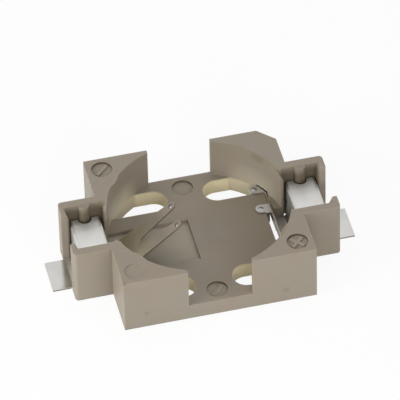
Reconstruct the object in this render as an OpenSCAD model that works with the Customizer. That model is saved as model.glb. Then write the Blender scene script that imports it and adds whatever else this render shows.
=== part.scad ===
// Surface-mount holder for a round coin cell: one moulded housing with four
// corner blocks, and two folded sheet contacts that drop into its end bays.
// X runs from the negative contact to the positive one, and Z = 0 is the board.

/* [Coin cell] */
// Diameter of the cell that the pocket takes
cell_d = 24.5; // [23:0.1:26]
// Thickness of the cell
cell_h = 5; // [4:0.1:6]
// Gap between the cell and the pocket's wall, all round
cell_gap = 0.1; // [0.05:0.05:0.4]

/* [Body] */
// Thickness of the floor under the cell
floor_t = 2.4; // [2:0.1:3.2]
// Height of the corner blocks above the cell's top face
rim_h = 1.1; // [0.8:0.1:2]
// Plastic past the pocket's circle at the short ends
end_wall = 0.75; // [0.5:0.05:1.5]
// Reach of the pocket's circle past the long sides
side_break = 0.25; // [0:0.05:0.5]
// Opening between the two blocks of a long side
gap_w = 8.7; // [7:0.1:11]
// Leg of the cut across the corner that marks the polarity
key_cut = 2.25; // [1:0.05:3]
// Reach of the snap bumps over the cell
snap_reach = 0.25; // [0.1:0.05:0.4]
// Radius of the snap bumps, seen from above
snap_r = 4; // [2:0.1:5]
// Angle of the snap bumps from the X axis
snap_angle = 37; // [34:1:50]

/* [Floor openings] */
// Width of the four moulding slots
slot_w = 4; // [2:0.1:5]
// Plastic between a slot and the pocket's wall, on the cross line
slot_edge = 2; // [1:0.1:3]
// Distance between the round ends of two slots in a row
slot_apart = 4.9; // [3:0.1:8]
// Reach of the window under the positive contact, in from the pocket's wall
window_l = 2.6; // [2:0.1:4]
// Depth of the recess that takes the flattened fork
recess_d = 0.7; // [0.4:0.05:1.2]
// Gap round the flattened fork in its recess, along X
recess_gap = 0.35; // [0.1:0.05:0.5]
// Gap round the flattened fork in its recess, on each side
recess_side = 1.2; // [0.3:0.1:1.8]

/* [Contact bays] */
// Thickness of the bays' long walls
bay_wall = 1.15; // [0.8:0.05:2]
// Thickness of the flanges at the bays' open ends
flange_t = 1.1; // [0.8:0.05:2]
// Gap between a contact's clip and the flanges
clip_gap = 0.15; // [0.05:0.05:0.3]
// Gap between a contact's clip and the posts on the pocket's side
post_gap = 0.35; // [0.2:0.05:0.6]
// Gap between a contact's shoulder and the bay's long walls
shoulder_gap = 0.2; // [0.1:0.05:0.4]
// Gap between a contact's strip and the flanges beside it
door_gap = 0.25; // [0.1:0.05:0.5]
// Length of the sloped lead-in at the bays' open ends, along X
lead_x = 0.5; // [0.2:0.05:0.9]
// Length of the sloped lead-in on the pocket's side, along X
post_lead = 0.75; // [0.6:0.05:1]
// Depth of the sloped lead-in
lead_z = 1.25; // [0.5:0.05:2]
// Radius of the outer upright corners
corner_r = 0.5; // [0.2:0.05:0.9]
// Radius of the half-round rib that keys each contact
rib_r = 0.8; // [0.5:0.05:1.2]
// Depth of the well round the rib, in the saddle
well_d = 3; // [1:0.5:4]

/* [Contacts] */
// Thickness of the contacts' sheet
sheet_t = 0.25; // [0.15:0.05:0.3]
// Inside radius of the folds
bend_r = 0.25; // [0.15:0.05:0.3]
// Inside radius of the fold at the foot of the positive contact
foot_r = 0.5; // [0.25:0.05:0.6]
// Width of the strip that makes the tab, the lower legs and the fork
strip_w = 5.4; // [4.5:0.1:6]
// Width of the clip's shoulders
shoulder_w = 7.6; // [7:0.1:9]
// Outside length of the clip, along X
clip_l = 4.2; // [3.6:0.1:5]
// Depth of the clip's top below the blocks' top
clip_drop = 2.4; // [1.8:0.1:3]
// Depth of the wide shoulders below the clip's top
shoulder_h = 2.2; // [1.5:0.1:2.6]
// Reach of the solder tabs past the bays
tab_l = 2.6; // [1.5:0.1:4]
// Gap between the rib and the notch round it
notch_gap = 0.1; // [0.05:0.05:0.3]
// Depth of the notch past the rib's tip
notch_deep = 0.4; // [0.1:0.05:0.8]

/* [Negative fork] */
// Distance from the pocket's wall to the fold at the fork's root
root_in = 1.75; // [1.5:0.05:3]
// Length of the fork, from its fold to its tips
fork_l = 9.5; // [7:0.1:10.5]
// Slope of the free fork
fork_angle = 38; // [15:1:40]
// Length of the fork's solid root
fork_root = 2.7; // [2:0.1:4]
// Width of the slot between the fingers at its round root
finger_gap = 0.7; // [0.5:0.1:1.4]
// Width of a finger at its round tip
finger_tip = 1.25; // [0.9:0.05:1.8]
// Width across both round tips
tips_w = 4.9; // [4.4:0.1:5.4]

/* [Positive comb] */
// Width of the slit between the floor and the comb
slit_w = 0.8; // [0.7:0.05:1.1]
// Height of the comb's foot above the board
foot_z = 0.6; // [0.4:0.05:0.7]
// Lean of the leg above the foot, towards the pocket
leg_lean = 5; // [0:1:8]
// Width of a tongue
tongue_w = 1.5; // [1:0.1:2.4]
// Distance from the centre line to the inner tongue
tongue_y = 3; // [2:0.1:3.6]
// Distance between the two tongues
tongue_pitch = 3.85; // [3:0.05:4.2]
// Height of the arm that carries the tongues
arm_h = 1.2; // [0.8:0.1:1.4]
// Length of a tongue past its fold
tongue_l = 1.85; // [1.2:0.05:2.5]
// Slope of a free tongue
tongue_angle = 3; // [2:1:15]
// Gap between a tongue and the floor
tongue_gap = 0.05; // [0.05:0.05:0.2]
// Gap round the comb where it enters the wall
comb_gap = 0.1; // [0.05:0.05:0.3]

/* [Dimples and marks] */
// Radius of the pressed dimples at the edge
dimple_r = 0.36; // [0.2:0.02:0.45]
// Height of the pressed dimples
dimple_h = 0.16; // [0.08:0.02:0.2]
// Radius of the round ejector marks
mark_r = 1.45; // [0.8:0.05:1.8]
// Depth of the round marks
mark_d = 0.35; // [0.1:0.05:0.5]
// Distance of the round marks from the centre line, along Y
mark_y = 10; // [9.6:0.1:10.2]
// Distance of the blocks' marks from the cross line, along X
mark_x = 11; // [10.8:0.1:11.2]
// Width of the strokes of the polarity signs
sign_w = 0.45; // [0.2:0.05:0.7]
// Height of the strokes above their mark's floor
sign_h = 0.2; // [0.05:0.05:0.5]

/* [Hidden] */
$fn = 96;
over = 1;               // how far a cut runs past a face

pocket_r = cell_d / 2 + cell_gap;
body_h = floor_t + cell_h + rim_h;
body_x = pocket_r + end_wall;
body_y = pocket_r - side_break;
snap_z = floor_t + cell_h + cell_gap;
slot_y = pocket_r - slot_edge - slot_w / 2;
window_x = pocket_r - window_l;

bay_y = shoulder_w / 2 + shoulder_gap;
bay_out_y = bay_y + bay_wall;
door_y = strip_w / 2 + door_gap;
bay_x0 = pocket_r + 0.05;
bay_x1 = bay_x0 + post_gap + clip_l + clip_gap;
leg_x0 = bay_x0 + post_gap;
leg_x1 = bay_x1 - clip_gap;
clip_mid = (leg_x0 + leg_x1) / 2;
bay_end = bay_x1 + flange_t;
saddle_l = clip_l - 2 * (sheet_t + bend_r);
clip_z = body_h - clip_drop;
recess_z = floor_t - recess_d;

fold = sheet_t + bend_r;
foot_c = sheet_t + foot_r;
tab_x = bay_end + tab_l;
root_x = pocket_r - root_in;
recess_x = root_x - fork_l - recess_gap;
comb_x = window_x + slit_w;
comb_y = tongue_y + tongue_pitch + tongue_w / 2;
tongue_z = floor_t + tongue_gap;
comb_h = tongue_z - bend_r - foot_z - foot_c;
notch_r = rib_r + notch_gap;
faint_d = mark_d / 3;
tongue_rise = tongue_l * sin(tongue_angle);

// ---- housing ----

// a bay's outline, with round upright corners at its open end
module bay_outline() {
  square_x = bay_end - corner_r;
  translate([0, -bay_out_y]) square([square_x, 2 * bay_out_y]);
  translate([0, corner_r - bay_out_y]) square([bay_end, 2 * (bay_out_y - corner_r)]);
  for (s = [-1, 1]) translate([square_x, s * (bay_out_y - corner_r)]) circle(corner_r);
}

// everything inside the pocket's wall, from z0 up to z1
module pocket_zone(z0, z1) {
  translate([0, 0, z0]) cylinder(r = pocket_r, h = z1 - z0);
}

// a through slot beside the floor, running out to the pocket's wall
module slot() {
  first = slot_apart / 2 + slot_w / 2;
  translate([first, slot_y, -over]) cylinder(d = slot_w, h = floor_t + 2 * over);
  translate([first, slot_y - slot_w / 2, -over])
    cube([pocket_r, slot_w, floor_t + 2 * over]);
}

module floor_openings() {
  intersection() {
    pocket_zone(-over, floor_t + over);
    union() {
      for (sx = [0, 1], sy = [0, 1]) mirror([sx, 0, 0]) mirror([0, sy, 0]) slot();
      translate([window_x, -door_y, -over]) cube([window_l + over, 2 * door_y, floor_t + 2 * over]);
    }
  }
  intersection() {
    pocket_zone(recess_z, floor_t + over);
    translate([-pocket_r, -strip_w / 2 - recess_side, recess_z])
      cube([pocket_r - recess_x, strip_w + 2 * recess_side, recess_d + over]);
  }
}

// hollow of a bay: its cavity, its open end, its way into the pocket from door_z up,
// and the sloped lead-ins at its mouth
module bay_hollow(door_z) {
  tall = body_h + 2 * over;
  translate([bay_x0, -bay_y, -over]) cube([bay_x1 - bay_x0, 2 * bay_y, tall]);
  translate([clip_mid, -door_y, -over]) cube([bay_end - clip_mid + over, 2 * door_y, tall]);
  translate([root_x, -door_y, door_z]) cube([clip_mid - root_x, 2 * door_y, tall]);
  translate([0, bay_y, 0]) rotate([90, 0, 0]) linear_extrude(2 * bay_y)
    polygon([
      [bay_x0, body_h - lead_z], [bay_x0 - post_lead, body_h], [bay_x0 - post_lead, body_h + over],
      [bay_x1 + lead_x, body_h + over], [bay_x1 + lead_x, body_h], [bay_x1, body_h - lead_z]
    ]);
}

// room round the rib, in the clip's edge and in the saddle, from z0 up to z1
module rib_room(z0, z1) {
  tip_y = bay_y - rib_r - notch_deep;
  translate([clip_mid, tip_y + notch_r, z0]) {
    cylinder(r = notch_r, h = z1 - z0);
    translate([-notch_r, 0, 0]) cube([2 * notch_r, shoulder_w, z1 - z0]);
  }
}

// what stands inside a bay: the saddle that carries the clip, and the keying rib
module bay_core() {
  top = clip_z - sheet_t;
  difference() {
    translate([clip_mid - saddle_l / 2, -bay_y, 0]) cube([saddle_l, 2 * bay_y, top]);
    rib_room(top - well_d, top + over);
  }
  intersection() {
    translate([clip_mid, bay_y, 0]) cylinder(r = rib_r, h = body_h);
    translate([bay_x0, 0, 0]) cube([bay_x1 - bay_x0, bay_y + bay_wall / 2, body_h]);
  }
}

// way for the comb's web up through the wall, and room for its tongues at the wall's foot
module comb_slot() {
  top = tongue_z + sheet_t + comb_gap;
  translate([comb_x - comb_gap, 0, -over])
    cube([sheet_t + 2 * comb_gap, comb_y + comb_gap, over + top]);
  translate([comb_x - tongue_l, 0, floor_t])
    cube([tongue_l, comb_y + comb_gap, top + tongue_rise - floor_t]);
}

module snap_bump(angle) {
  rotate(angle) translate([pocket_r - snap_reach + snap_r, 0, snap_z])
    cylinder(r = snap_r, h = body_h - snap_z + 2 * over);
}

// a shallow round mark with the strokes of its sign raised from its floor
module mark(x, y, z, depth, strokes) {
  translate([x, y, z - depth]) difference() {
    cylinder(r = mark_r, h = depth + over);
    for (turn = strokes) rotate(turn)
      translate([-mark_r * 0.8, -sign_w / 2, -over])
        cube([1.6 * mark_r, sign_w, over + min(sign_h, depth)]);
  }
}

module housing() color([0.55, 0.52, 0.47]) {
  difference() {
    union() {
      translate([-body_x, -body_y, 0]) cube([2 * body_x, 2 * body_y, body_h]);
      for (s = [0, 1]) mirror([s, 0, 0]) linear_extrude(body_h) bay_outline();
    }
    difference() {
      pocket_zone(floor_t, body_h + over);
      for (side = [0, 180], s = [-1, 1]) snap_bump(side + s * snap_angle);
    }
    translate([-gap_w / 2, -body_y - over, floor_t])
      cube([gap_w, 2 * (body_y + over), body_h]);
    translate([body_x, body_y, 0]) rotate(45)
      cube([sqrt(2) * key_cut, 2 * sqrt(2) * key_cut, 4 * body_h], center = true);
    floor_openings();
    bay_hollow(-over);
    mirror([1, 0, 0]) bay_hollow(recess_z);
    comb_slot();
    mark(0, mark_y, floor_t, mark_d, []);
    mark(0, -mark_y, floor_t, mark_d, [45]);
    mark(mark_x, -mark_y, body_h, mark_d, [45, 135]);
    mark(-mark_x, mark_y, body_h, mark_d, [45]);
    mark(-mark_x, -mark_y, body_h, faint_d, []);
  }
  for (s = [0, 1]) mirror([s, 0, 0]) bay_core();
}

// ---- contacts ----

// sheet along +X with its lower face at z = 0, then a fold of inside radius r: up for a
// turn above zero, down for one below it; the children carry on from the fold's end
module flat_then_fold(length, turn, w, r = bend_r) {
  cz = turn > 0 ? r + sheet_t : -r;
  translate([0, -w / 2, 0]) cube([length, w, sheet_t]);
  if (turn != 0) translate([length, 0, cz]) rotate([90, 0, 0])
    rotate(turn > 0 ? -90 : 90 + turn)
      rotate_extrude(angle = abs(turn)) translate([r, -w / 2]) square([sheet_t, w]);
  if (turn == 0) translate([length, 0, 0]) children();
  else translate([length, 0, cz]) rotate([0, -turn, 0]) translate([0, 0, -cz]) children();
}

// tab, outer leg, clip and the wide part of the inner leg, shared by both contacts;
// the sheet starts at the tab's end, runs inwards, and the children carry on downwards
module clip() {
  leg = clip_z - sheet_t - bend_r - fold;
  flat_then_fold(tab_x - leg_x1 - bend_r, 90, strip_w)
    flat_then_fold(leg - shoulder_h, 0, strip_w)
      flat_then_fold(shoulder_h, -90, shoulder_w)
        flat_then_fold(saddle_l, -90, shoulder_w)
          flat_then_fold(shoulder_h, 0, shoulder_w)
            children();
}

// drop from the wide shoulder's lower edge to the underside of a sheet lying at height z
function leg_drop(z) = clip_z - fold - shoulder_h - z;

module rib_notch() rib_room(clip_z - fold, clip_z + over);

// a pressed dimple on a sheet's upper face, hollow below
module dimple() {
  ball = (dimple_r * dimple_r + dimple_h * dimple_h) / (2 * dimple_h);
  translate([0, 0, sheet_t]) intersection() {
    translate([0, 0, dimple_h - ball]) sphere(ball);
    translate([-dimple_r, -dimple_r, -sheet_t / 2])
      cube([2 * dimple_r, 2 * dimple_r, dimple_h + sheet_t]);
  }
}

// plan of one finger of the fork, x from the fold
module finger_plan() {
  tip_r = finger_tip / 2;
  polygon([
    [fork_root, finger_gap / 2], [fork_root + finger_gap / 2, finger_gap / 2],
    [fork_l - tip_r, tips_w / 2 - finger_tip], [fork_l - tip_r, tips_w / 2],
    [fork_root, strip_w / 2]
  ]);
  translate([fork_l - tip_r, tips_w / 2 - tip_r]) circle(tip_r);
}

module fork() {
  tip_r = finger_tip / 2;
  linear_extrude(sheet_t) {
    difference() {
      translate([0, -strip_w / 2]) square([fork_root + finger_gap / 2, strip_w]);
      translate([fork_root + finger_gap / 2, 0]) circle(finger_gap / 2);
    }
    for (s = [0, 1]) mirror([0, s]) finger_plan();
  }
  for (s = [-1, 1]) translate([fork_l - tip_r, s * (tips_w / 2 - tip_r), 0]) dimple();
}

module negative_contact() color([0.75, 0.74, 0.71]) difference() {
  translate([-tab_x, 0, 0]) clip()
    flat_then_fold(leg_drop(recess_z) - fold, 90, strip_w)
      flat_then_fold(leg_x0 - bend_r - root_x, fork_angle, strip_w)
        fork();
  mirror([1, 0, 0]) rib_notch();
}

// one tongue with its fold, from the comb's upper edge over the floor
module tongue() {
  tip_r = tongue_w / 2;
  flat_then_fold(0.01, tongue_angle - 90, tongue_w) {
    translate([0, -tip_r, 0]) cube([tongue_l - tip_r, tongue_w, sheet_t]);
    translate([tongue_l - tip_r, 0, 0]) cylinder(r = tip_r, h = sheet_t);
    translate([tongue_l - tip_r, 0, 0]) dimple();
  }
}

module comb() {
  translate([0, -strip_w / 2, 0]) cube([comb_h, strip_w, sheet_t]);
  translate([comb_h - arm_h, 0, 0]) cube([arm_h, comb_y, sheet_t]);
  for (i = [0, 1]) translate([comb_h - 0.01, tongue_y + i * tongue_pitch, 0]) tongue();
}

// the leg leans by a small fold of its own, so its length and the foot's follow from the
// drop and from the way in to the comb, less what the folds take
module positive_contact() color([0.8, 0.79, 0.76]) difference() {
  lean = [cos(leg_lean), sin(leg_lean)];
  leg_l = (leg_drop(foot_z) - fold * lean[1] - foot_c * (1 - lean[1])) / lean[0];
  leg_in = fold * (1 - lean[0]) + leg_l * lean[1] + foot_c * lean[0];
  mirror([1, 0, 0]) translate([-tab_x, 0, 0]) clip()
    flat_then_fold(0.01, leg_lean, strip_w)
      flat_then_fold(leg_l - 0.01, 90 - leg_lean, strip_w, foot_r)
        flat_then_fold(leg_x0 + sheet_t - leg_in - foot_c - comb_x, 90, strip_w, foot_r)
          comb();
  rib_notch();
}

housing();
negative_contact();
positive_contact();
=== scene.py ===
import math

import bmesh
import bpy
import numpy as np
from mathutils import Matrix, Vector


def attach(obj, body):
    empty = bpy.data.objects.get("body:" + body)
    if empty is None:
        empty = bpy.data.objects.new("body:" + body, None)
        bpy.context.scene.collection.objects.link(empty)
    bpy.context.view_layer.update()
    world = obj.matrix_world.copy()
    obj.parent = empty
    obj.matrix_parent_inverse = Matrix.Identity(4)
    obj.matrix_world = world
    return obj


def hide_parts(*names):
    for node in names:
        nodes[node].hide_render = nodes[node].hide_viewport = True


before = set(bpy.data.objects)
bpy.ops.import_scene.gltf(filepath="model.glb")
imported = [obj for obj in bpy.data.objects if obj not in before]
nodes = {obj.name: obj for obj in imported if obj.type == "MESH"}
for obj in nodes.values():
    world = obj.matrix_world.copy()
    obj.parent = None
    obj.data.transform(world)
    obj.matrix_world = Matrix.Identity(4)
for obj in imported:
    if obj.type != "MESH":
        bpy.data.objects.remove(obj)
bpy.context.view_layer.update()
mm = 0.001


# shading helpers

def newMaterial(name):
    mat = bpy.data.materials.new(name)
    mat.use_nodes = True
    mat.node_tree.nodes.clear()
    return mat, mat.node_tree


def addNode(tree, kind, inputs=None, **settings):
    node = tree.nodes.new(kind)
    for key, value in settings.items():
        setattr(node, key, value)
    for key, value in (inputs or {}).items():
        if isinstance(value, bpy.types.NodeSocket):
            tree.links.new(value, node.inputs[key])
        else:
            node.inputs[key].default_value = value
    return node


def noiseAt(tree, vector, scale, detail, roughness):
    node = addNode(tree, "ShaderNodeTexNoise", {"Vector": vector, "Scale": scale, "Detail": detail,
                                                "Roughness": roughness})
    return node.outputs["Fac"]


def remap(tree, value, fromLow, fromHigh, toLow, toHigh):
    node = addNode(tree, "ShaderNodeMapRange", {"Value": value, "From Min": fromLow, "From Max": fromHigh,
                                                "To Min": toLow, "To Max": toHigh})
    return node.outputs["Result"]


def fade(tree, value, span, ends=(0.0, 1.0)):
    return remap(tree, value, span[0], span[1], ends[0], ends[1])


def mathNode(tree, operation, a, b=0.0):
    return addNode(tree, "ShaderNodeMath", {0: a, 1: b}, operation=operation).outputs[0]


def product(tree, first, *others):
    for other in others:
        first = mathNode(tree, "MULTIPLY", first, other)
    return first


def distanceTo(tree, place, spot):
    node = addNode(tree, "ShaderNodeVectorMath", {0: place, 1: spot}, operation="DISTANCE")
    return node.outputs["Value"]


def placeParts(tree):
    # object coordinates, their sizes along X and Y, and the face's own Z direction
    place = addNode(tree, "ShaderNodeTexCoord").outputs["Object"]
    x, y, z = addNode(tree, "ShaderNodeSeparateXYZ", {"Vector": place}).outputs
    normal = addNode(tree, "ShaderNodeNewGeometry").outputs["Normal"]
    facing = addNode(tree, "ShaderNodeSeparateXYZ", {"Vector": normal}).outputs[2]
    return {"place": place, "x": x, "y": y, "z": z, "facing": facing,
            "alongX": mathNode(tree, "ABSOLUTE", x), "alongY": mathNode(tree, "ABSOLUTE", y)}


def mixColor(tree, factor, a, b):
    node = addNode(tree, "ShaderNodeMix", data_type="RGBA", blend_type="MIX")
    for socket, value in ((node.inputs[0], factor), (node.inputs[6], a), (node.inputs[7], b)):
        if isinstance(value, bpy.types.NodeSocket):
            tree.links.new(value, socket)
        else:
            socket.default_value = value
    return node.outputs[2]


def rgba(r, g, b):
    return (r, g, b, 1.0)


# moulded plastic

plastic = {
    "tone": rgba(0.262, 0.232, 0.186),
    "warmTone": rgba(0.268, 0.226, 0.176),
    "paleTone": rgba(0.290, 0.266, 0.222),
    "speckTone": rgba(0.22, 0.19, 0.14),
    "clouds": (160.0, 3.0, 0.55),              # scale, detail and roughness of each noise
    "cloudSpan": (0.35, 0.65),
    "streaks": (1.0, 4.0, 0.6),
    "streakScale": (220.0, 900.0, 900.0),
    "streakSpan": (0.5, 0.85),
    "streakShare": (0.0, 0.3),
    "specks": (3600.0, 2.0, 0.7),
    "speckSpan": (0.62, 0.8),
    "speckShare": (0.0, 0.12),
    "glow": 0.16,                # share of light that soaks in and comes out beside the edge
    "glowReach": (0.0016, 0.0011, 0.0006),
    "roughSpan": (0.4, 1.1),
    "rough": (0.44, 0.6),
    "sheen": 0.35,
    "grain": (5200.0, 3.0, 0.6),
    "grainShare": 0.5,
    "grainLift": 0.00001,
    "grainStrength": 0.5,
}


def resinTone(tree, place):
    clouds = noiseAt(tree, place, *plastic["clouds"])
    streakPlace = addNode(tree, "ShaderNodeMapping", {"Vector": place, "Scale": plastic["streakScale"]})
    streaks = noiseAt(tree, streakPlace.outputs[0], *plastic["streaks"])
    specks = noiseAt(tree, place, *plastic["specks"])
    tone = mixColor(tree, fade(tree, clouds, plastic["cloudSpan"]), plastic["tone"], plastic["warmTone"])
    tone = mixColor(tree, fade(tree, streaks, plastic["streakSpan"], plastic["streakShare"]), tone,
                    plastic["paleTone"])
    tone = mixColor(tree, fade(tree, specks, plastic["speckSpan"], plastic["speckShare"]), tone,
                    plastic["speckTone"])
    return clouds, tone


paintedShading = {                      # painted shade and glow: places as spans over which a tone comes in or goes out
    "paintedShadeTone": rgba(0.150, 0.122, 0.074),     # where little light reaches
    # painted light: the floor's recess is paler
    "recessLightTone": rgba(0.40, 0.36, 0.285),
    # painted shade: the bays are darker
    "bayShadeTone": rgba(0.105, 0.085, 0.052),
    "glowTone": rgba(0.82, 0.73, 0.50),        # stands in for light that soaks through thin edges
    "upright": (0.3, 0.7),
    "pocketEdge": (0.01215, 0.01265),
    "baseEdge": (0.0119, 0.0120),
    "floorTop": (0.0021, 0.0025),
    "wallRise": (0.0039, 0.0085),
    "wallShare": (0.0, 0.8),
    "shadeSide": (-0.004, 0.004),              # from the negative end to the positive one
    "shadeShare": (0.1, 1.0),
    "soakRise": (0.0024, 0.0059),
    "soakShare": (0.5, 0.0),
    "soakAlongY": (0.0035, 0.0055),
    "soakAlongX": (0.0062, 0.0082),
    "soakSides": (1.6, 0.8),
    "slotAlongY": (0.0046, 0.0052),
    "slotShare": 0.85,
    "dimSpan": (-0.001, 0.0105),
    "dimShare": (0.0, 0.62),
    "recessTop": (0.0018, 0.0021),
    "recessShare": (0.7, 0.0),
    "bayStart": (0.0122, 0.0124),
    "bayEnd": (0.0172, 0.0174),
    "bayEdge": (0.00405, 0.00415),
    "bayRise": (0.0073, 0.0085),
    "bayShare": (0.95, 0.25),
}


def paintedShadingTone(tree, at, upright, tone):
    # radius from the pocket's axis: the square root of x squared plus y squared
    across = mathNode(tree, "ADD", product(tree, at["x"], at["x"]), product(tree, at["y"], at["y"]))
    radius = mathNode(tree, "SQRT", across)
    inside = product(tree, fade(tree, radius, paintedShading["pocketEdge"], (1.0, 0.0)),
                     fade(tree, at["alongY"], paintedShading["baseEdge"], (1.0, 0.0)))
    above = fade(tree, at["z"], paintedShading["floorTop"])
    # painted shade: upright faces over the floor are deeper towards the top; painted glow: they are paler
    # low down beside the slots
    walls = product(tree, upright, inside, above)
    rise = product(tree, fade(tree, at["z"], paintedShading["wallRise"], paintedShading["wallShare"]),
                   fade(tree, at["x"], paintedShading["shadeSide"], paintedShading["shadeShare"]))
    tone = mixColor(tree, product(tree, walls, rise), tone, paintedShading["paintedShadeTone"])
    soak = product(tree, fade(tree, at["z"], paintedShading["soakRise"], paintedShading["soakShare"]),
                   fade(tree, at["alongY"], paintedShading["soakAlongY"]),
                   fade(tree, at["alongX"], paintedShading["soakAlongX"]),
                   fade(tree, at["x"], paintedShading["shadeSide"], paintedShading["soakSides"]))
    tone = mixColor(tree, product(tree, walls, soak), tone, paintedShading["glowTone"])
    # painted glow on the slots' walls below the floor
    below = mathNode(tree, "SUBTRACT", 1.0, above)
    slots = product(tree, upright, inside, below, fade(tree, at["alongY"], paintedShading["slotAlongY"]))
    tone = mixColor(tree, product(tree, slots, paintedShading["slotShare"]), tone, paintedShading["glowTone"])
    # painted shade: the floor dims towards the positive end; painted light: its recess is paler
    level = product(tree, mathNode(tree, "SUBTRACT", 1.0, upright), inside)
    dim = fade(tree, at["x"], paintedShading["dimSpan"], paintedShading["dimShare"])
    tone = mixColor(tree, product(tree, level, dim), tone, paintedShading["paintedShadeTone"])
    sunk = fade(tree, at["z"], paintedShading["recessTop"], paintedShading["recessShare"])
    tone = mixColor(tree, product(tree, level, sunk), tone, paintedShading["recessLightTone"])
    # painted shade inside the bays
    bay = product(tree, fade(tree, at["alongX"], paintedShading["bayStart"]),
                  fade(tree, at["alongX"], paintedShading["bayEnd"], (1.0, 0.0)),
                  fade(tree, at["alongY"], paintedShading["bayEdge"], (1.0, 0.0)),
                  fade(tree, at["z"], paintedShading["bayRise"], paintedShading["bayShare"]))
    return mixColor(tree, bay, tone, paintedShading["bayShadeTone"])


markRimShade = {                    # painted shade on the round marks' upright rims, and their strokes' sides
    "tone": rgba(0.070, 0.056, 0.034),
    "middles": ((0.0, 0.0100, 0.0), (0.0, -0.0100, 0.0), (0.0110, -0.0100, 0.0), (-0.0110, 0.0100, 0.0)),
    "strokeToRim": (0.0012, 0.0014),
    "shares": (0.12, 0.9),
    "outside": (0.0015, 0.0016),
}
darkSpecks = {                      # faint dark specks: place and reach
    "tone": rgba(0.10, 0.085, 0.075),
    "share": 0.3,
    "soft": (0.4, 1.6),
    "spots": (
        ((-0.0101, -0.0121, 0.0024), 0.0003),
        ((0.0089, -0.0121, 0.0020), 0.0004),
        ((0.0109, 0.0116, 0.0085), 0.0002),
        ((-0.0130, -0.0120, 0.0084), 0.0003),
    ),
}


def markShadeAndSpecksTone(tree, at, upright, tone):
    level = addNode(tree, "ShaderNodeVectorMath", {0: at["place"], 1: (1.0, 1.0, 0.0)},
                    operation="MULTIPLY").outputs[0]
    # painted shade on each mark's rim
    for middle in markRimShade["middles"]:
        away = distanceTo(tree, level, middle)
        rim = product(tree, fade(tree, away, markRimShade["strokeToRim"], markRimShade["shares"]),
                      fade(tree, away, markRimShade["outside"], (1.0, 0.0)), upright)
        tone = mixColor(tree, rim, tone, markRimShade["tone"])
    return spottedTone(tree, at["place"], darkSpecks, tone)


def spottedTone(tree, place, kind, tone):
    for spot, reach in kind["spots"]:
        span = (reach * kind["soft"][0], reach * kind["soft"][1])
        near = fade(tree, distanceTo(tree, place, spot), span, (kind["share"], 0.0))
        tone = mixColor(tree, near, tone, kind["tone"])
    return tone


def mouldedPlastic():
    mat, tree = newMaterial("mouldedPlastic")
    at = placeParts(tree)
    upright = fade(tree, mathNode(tree, "ABSOLUTE", at["facing"]), paintedShading["upright"], (1.0, 0.0))
    clouds, tone = resinTone(tree, at["place"])
    tone = paintedShadingTone(tree, at, upright, tone)
    tone = markShadeAndSpecksTone(tree, at, upright, tone)
    grain = noiseAt(tree, at["place"], *plastic["grain"])
    texture = mathNode(tree, "ADD", clouds, product(tree, grain, plastic["grainShare"]))
    rough = fade(tree, texture, plastic["roughSpan"], plastic["rough"])
    bump = addNode(tree, "ShaderNodeBump", {"Height": grain, "Strength": plastic["grainStrength"],
                                            "Distance": plastic["grainLift"]})
    shader = addNode(tree, "ShaderNodeBsdfPrincipled", {
        "Base Color": tone, "Roughness": rough, "Normal": bump.outputs[0], "IOR": 1.5,
        "Subsurface Weight": plastic["glow"], "Subsurface Radius": plastic["glowReach"],
        "Subsurface Scale": 1.0, "Specular IOR Level": plastic["sheen"]})
    addNode(tree, "ShaderNodeOutputMaterial", {"Surface": shader.outputs[0]})
    return mat


# plated sheet

plating = {
    "tone": rgba(0.62, 0.615, 0.595),
    "duskTone": rgba(0.56, 0.555, 0.535),
    "paintedShadeTone": rgba(0.235, 0.195, 0.135),     # painted shade on the fingers, the comb and the cut edges
    "rootShadeTone": rgba(0.60, 0.53, 0.37),        # painted shade on the fork's root, brown like the plastic it reflects
    "clouds": (260.0, 2.0, 0.5),               # scale, detail and roughness of each noise
    "cloudSpan": (0.4, 0.65),
    "fingersStart": (-0.0092, -0.0055),
    "fingersEnd": (0.0, 0.001),
    "rootStart": (-0.0124, -0.0118),
    "rootShare": (0.0, 0.8),
    "rootEnd": (-0.0075, -0.0055),
    "combStart": (0.0100, 0.0104),
    "combTop": (0.0022, 0.0026),
    "combEnd": (0.0136, 0.0140),
    "combShare": 0.7,
    "tabStart": (0.0182, 0.0184),
    "tabFace": (0.5, 0.8),
    "paintedShadeShare": 0.85,
    "roughSpan": (0.3, 0.7),
    "rough": (0.38, 0.46),
    "shineStart": (0.0178, 0.0182),
    "tabShine": (1.0, 0.3),      # the tabs' roughness, as a share of the rest's
    "lines": (1.0, 3.0, 0.6),
    "rollScale": (60.0, 2600.0, 60.0),         # fine lines left by rolling, along the strip
    "rollLift": 0.000001,
    "rollStrength": 0.3,
}
dimples = {                      # painted dark reflections on the pressed dimples: middle and reach
    "tone": rgba(0.12, 0.12, 0.13),
    "share": 0.75,
    "soft": (0.7, 1.3),
    "spots": (
        ((0.0092, 0.00685, 0.00275), 0.00034),
        ((0.0092, 0.0030, 0.00275), 0.00034),
        ((-0.00345, 0.001825, 0.00747), 0.00036),
        ((-0.00345, -0.001825, 0.00747), 0.00036),
    ),
}


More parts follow.
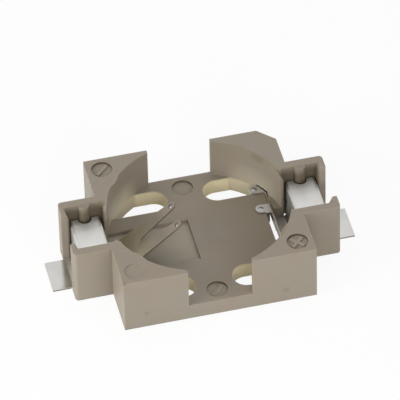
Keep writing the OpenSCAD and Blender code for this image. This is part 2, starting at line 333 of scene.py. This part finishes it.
def platedTone(tree, at):
    clouds = noiseAt(tree, at["place"], *plating["clouds"])
    tone = mixColor(tree, fade(tree, clouds, plating["cloudSpan"]), plating["tone"], plating["duskTone"])
    # painted shade and brown reflection on the fork's root
    root = product(tree, fade(tree, at["x"], plating["rootStart"], plating["rootShare"]),
                   fade(tree, at["x"], plating["rootEnd"], (1.0, 0.0)))
    tone = mixColor(tree, root, tone, plating["rootShadeTone"])
    # painted shade on the fingers and on the comb low down
    fingers = product(tree, fade(tree, at["x"], plating["fingersStart"]),
                      fade(tree, at["x"], plating["fingersEnd"], (1.0, 0.0)))
    comb = product(tree, fade(tree, at["x"], plating["combStart"]),
                   fade(tree, at["z"], plating["combTop"], (1.0, 0.0)),
                   fade(tree, at["x"], plating["combEnd"], (1.0, 0.0)))
    # painted shade on the tabs' cut edges: past the bays, where a face isn't turned up
    edges = product(tree, fade(tree, at["alongX"], plating["tabStart"]),
                    fade(tree, at["facing"], plating["tabFace"], (1.0, 0.0)))
    shaded = mathNode(tree, "MAXIMUM", fingers, product(tree, comb, plating["combShare"]))
    shaded = product(tree, mathNode(tree, "MAXIMUM", shaded, edges), plating["paintedShadeShare"])
    tone = mixColor(tree, shaded, tone, plating["paintedShadeTone"])
    # painted dark reflections on the dimples
    return spottedTone(tree, at["place"], dimples, tone)


def platedSheet():
    mat, tree = newMaterial("platedSheet")
    at = placeParts(tree)
    tone = platedTone(tree, at)
    linePlace = addNode(tree, "ShaderNodeMapping", {"Vector": at["place"], "Scale": plating["rollScale"]})
    lines = noiseAt(tree, linePlace.outputs[0], *plating["lines"])
    rough = product(tree, fade(tree, lines, plating["roughSpan"], plating["rough"]),
                    fade(tree, at["alongX"], plating["shineStart"], plating["tabShine"]))
    bump = addNode(tree, "ShaderNodeBump", {"Height": lines, "Strength": plating["rollStrength"],
                                            "Distance": plating["rollLift"]})
    shader = addNode(tree, "ShaderNodeBsdfPrincipled", {
        "Base Color": tone, "Metallic": 1.0, "Roughness": rough, "Normal": bump.outputs[0]})
    addNode(tree, "ShaderNodeOutputMaterial", {"Surface": shader.outputs[0]})
    return mat


# pieces with rounded edges

welding = {
    "reach": 0.0005 * mm,        # closer corners are made one
    "flatTurn": 0.6,             # degrees under which two faces are made one
}
rounding = {                     # an edge that turns by more than minTurn degrees is rounded
    "housing": {"width": 0.12 * mm, "segments": 2, "minTurn": 28.0},
    "negative_contact": {"width": 0.04 * mm, "segments": 2, "minTurn": 40.0},
    "positive_contact": {"width": 0.04 * mm, "segments": 2, "minTurn": 40.0},
}


def roundedCopy(nodeName, newName, material):
    # the node's loose triangles are welded and its flat fields made one face each,
    # then a bevel rounds every edge that turns by more than minTurn
    how = rounding[nodeName]
    mesh = nodes[nodeName].data.copy()
    mesh.name = newName
    work = bmesh.new()
    work.from_mesh(mesh)
    bmesh.ops.remove_doubles(work, verts=work.verts, dist=welding["reach"])
    bmesh.ops.dissolve_limit(work, angle_limit=math.radians(welding["flatTurn"]), verts=work.verts,
                             edges=work.edges, use_dissolve_boundaries=False)
    bmesh.ops.recalc_face_normals(work, faces=work.faces)
    for face in work.faces:
        face.smooth = True
    for edge in work.edges:
        edge.smooth = edge.calc_face_angle(0.0) < math.radians(how["minTurn"])
    work.to_mesh(mesh)
    work.free()
    mesh.materials.clear()
    mesh.materials.append(material)
    piece = bpy.data.objects.new(newName, mesh)
    bpy.context.scene.collection.objects.link(piece)
    bevel = piece.modifiers.new("roundEdges", "BEVEL")
    bevel.width = how["width"]
    bevel.segments = how["segments"]
    bevel.limit_method = "ANGLE"
    bevel.angle_limit = math.radians(how["minTurn"])
    bevel.use_clamp_overlap = True
    bevel.harden_normals = True
    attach(piece, "root")
    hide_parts(nodeName)
    return piece


plasticMat = mouldedPlastic()
platedMat = platedSheet()
print("finishes made")

housingPiece = roundedCopy("housing", "housingBody", plasticMat)
negativePiece = roundedCopy("negative_contact", "negativeStrip", platedMat)
positivePiece = roundedCopy("positive_contact", "positiveStrip", platedMat)
print("housing and contacts dressed")


# studio

studio = {
    "floorTone": rgba(0.86, 0.86, 0.85),
    "floorHalf": 0.6,
    "floorDrop": 0.00005,        # keeps the floor clear of the part's underside
    "floorWhite": 0.9,           # share of plain white that the camera sees on the floor
    "fill": 0.42,                # light that the surroundings give
}


def paleFloor():
    h = studio["floorHalf"]
    corners = np.array([(-h, -h, 0.0), (h, -h, 0.0), (h, h, 0.0), (-h, h, 0.0)])
    mesh = bpy.data.meshes.new("studioFloor")
    mesh.from_pydata((corners - (0.0, 0.0, studio["floorDrop"])).tolist(), [], [(0, 1, 2, 3)])
    floor = bpy.data.objects.new("studioFloor", mesh)
    bpy.context.scene.collection.objects.link(floor)
    mat, tree = newMaterial("paleFloor")
    matt = addNode(tree, "ShaderNodeBsdfDiffuse", {"Color": studio["floorTone"]})
    white = addNode(tree, "ShaderNodeEmission", {"Color": rgba(1.0, 1.0, 1.0), "Strength": 1.0})
    rays = addNode(tree, "ShaderNodeLightPath").outputs
    seen = mathNode(tree, "MAXIMUM", rays["Is Camera Ray"],
                    mathNode(tree, "MAXIMUM", rays["Is Glossy Ray"], rays["Is Transmission Ray"]))
    share = mathNode(tree, "MULTIPLY", seen, studio["floorWhite"])
    both = addNode(tree, "ShaderNodeMixShader", {0: share, 1: matt.outputs[0], 2: white.outputs[0]})
    addNode(tree, "ShaderNodeOutputMaterial", {"Surface": both.outputs[0]})
    mesh.materials.append(mat)
    return floor


def surroundings():
    world = bpy.data.worlds.new("studioAir")
    world.use_nodes = True
    tree = world.node_tree
    tree.nodes.clear()
    rays = addNode(tree, "ShaderNodeLightPath").outputs
    seen = mathNode(tree, "MAXIMUM", rays["Is Camera Ray"],
                    mathNode(tree, "MAXIMUM", rays["Is Glossy Ray"], rays["Is Transmission Ray"]))
    strength = remap(tree, seen, 0.0, 1.0, studio["fill"], 1.0)
    air = addNode(tree, "ShaderNodeBackground", {"Color": rgba(1.0, 1.0, 1.0), "Strength": strength})
    addNode(tree, "ShaderNodeOutputWorld", {"Surface": air.outputs[0]})
    bpy.context.scene.world = world


softBoxes = {
    "leftBox": {"at": (-0.32, -0.08, 0.12), "size": 0.22, "watts": 1.0},
    "frontBox": {"at": (0.02, -0.36, 0.14), "size": 0.26, "watts": 0.8},
    "topBox": {"at": (0.02, 0.06, 0.42), "size": 0.30, "watts": 0.35},
}


def softBox(name, at, size, watts):
    lamp = bpy.data.lights.new(name, "AREA")
    lamp.shape = "SQUARE"
    lamp.size = size
    lamp.energy = watts
    box = bpy.data.objects.new(name, lamp)
    box.location = at
    box.rotation_mode = "QUATERNION"
    box.rotation_quaternion = (-Vector(at)).to_track_quat("-Z", "Y")
    bpy.context.scene.collection.objects.link(box)


paleFloor()
surroundings()
for name, how in softBoxes.items():
    softBox(name, how["at"], how["size"], how["watts"])
print("studio set")


# camera

shot = {
    "target": (1.1935 * mm, 4.5585 * mm, 4.8746 * mm),
    "azimuth": -12.456,
    "elevation": 44.008,
    "roll": -1.581,
    "distance": 672.09 * mm,
    "lens": 450.265,
    "sensor": 36.0,
    "clip": (0.05, 5.0),
}


def setCamera():
    a, e, r = (math.radians(shot[key]) for key in ("azimuth", "elevation", "roll"))
    back = Vector((math.sin(a) * math.cos(e), -math.cos(a) * math.cos(e), math.sin(e)))
    side = Vector((math.cos(a), math.sin(a), 0.0))
    upward = back.cross(side)
    right = math.cos(r) * side + math.sin(r) * upward
    up = math.cos(r) * upward - math.sin(r) * side
    data = bpy.data.cameras.new("shotCamera")
    data.sensor_width = shot["sensor"]
    data.lens = shot["lens"]
    data.clip_start, data.clip_end = shot["clip"]
    camera = bpy.data.objects.new("shotCamera", data)
    bpy.context.scene.collection.objects.link(camera)
    turn = Matrix((right, up, back)).transposed().to_4x4()
    camera.matrix_world = Matrix.Translation(Vector(shot["target"]) + back * shot["distance"]) @ turn
    bpy.context.scene.camera = camera


setCamera()
bpy.context.scene.view_settings.view_transform = "Standard"
